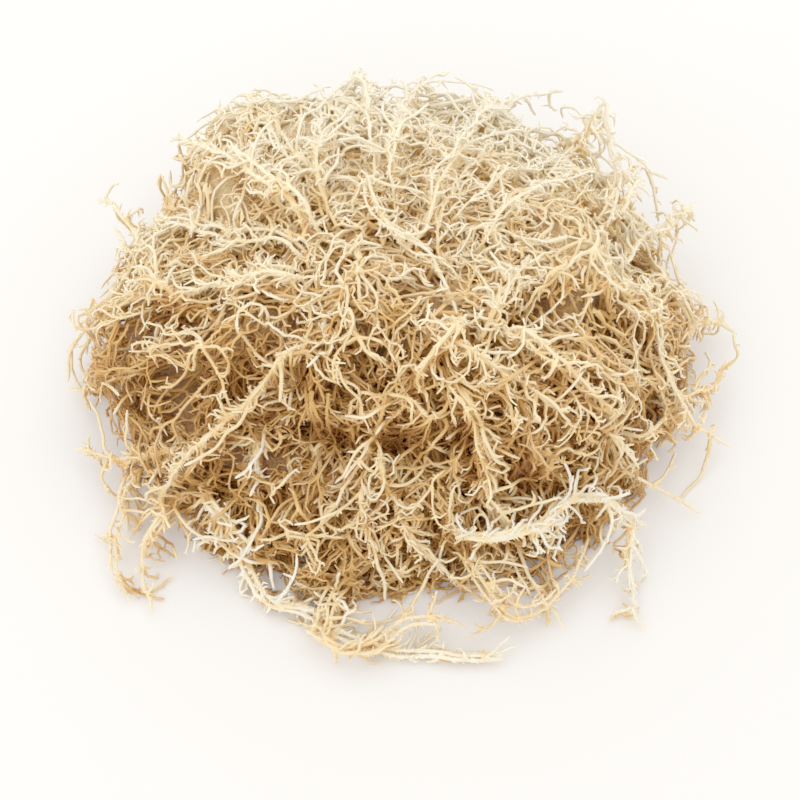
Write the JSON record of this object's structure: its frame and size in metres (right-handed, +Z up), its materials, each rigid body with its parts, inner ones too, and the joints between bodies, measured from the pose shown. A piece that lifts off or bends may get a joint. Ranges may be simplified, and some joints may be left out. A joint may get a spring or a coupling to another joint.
{
  "type": "dried gracilaria seaweed",
  "caption": "Loose tangled heap of bleached, dried gracilaria seaweed: wavy, forked and spiny cream strands matted in a low mound that lies flat.",
  "frame": {"origin": "on the surface that the heap lies on, under the middle of its bounding box", "axes": "+Z up, +X across the heap's widest side, +Y towards its higher, fuller back"},
  "size_m": [0.29, 0.2652, 0.1055],
  "materials": {
    "straw_strands": "matte, dry plant fibre, straw yellow that darkens inside the heap",
    "cream_fronds": "matte, dry plant fibre, bleached cream with paler tips"
  },
  "bodies": {
    "root": {"frond_back_crest": "cream_fronds", "frond_back_left_fall": "cream_fronds", "frond_back_middle_fall": "cream_fronds", "frond_back_right_fall": "cream_fronds", "frond_centre_knot": "cream_fronds", "frond_centre_loop": "cream_fronds", "frond_centre_right_sweep": "cream_fronds", "frond_centre_star": "cream_fronds", "frond_crest_loop": "cream_fronds", "frond_front_curl": "cream_fronds", "frond_front_fall": "cream_fronds", "frond_front_left_drop": "cream_fronds", "frond_front_middle": "cream_fronds", "frond_front_right_fall": "cream_fronds", "frond_front_tassel": "cream_fronds", "frond_front_trail": "cream_fronds", "frond_left_back_fall": "cream_fronds", "frond_left_edge_arch": "cream_fronds", "frond_left_front_fall": "cream_fronds", "frond_left_hang": "cream_fronds", "frond_left_hang_fork": "cream_fronds", "frond_left_low": "cream_fronds", "frond_left_mid": "cream_fronds", "frond_left_side_fall": "cream_fronds", "frond_right_arm": "cream_fronds", "frond_right_back_fall": "cream_fronds", "frond_right_edge_arch": "cream_fronds", "frond_right_far": "cream_fronds", "frond_right_fin": "cream_fronds", "frond_right_front_fall": "cream_fronds", "frond_right_rim": "cream_fronds", "frond_right_sprig": "cream_fronds", "frond_right_up_sprig": "cream_fronds", "frond_top_left_crest": "cream_fronds", "frond_top_left_fan": "cream_fronds", "frond_top_right_arch": "cream_fronds", "frond_top_right_fall": "cream_fronds", "matted_tangle": "straw_strands"}
  },
  "joints": []
}
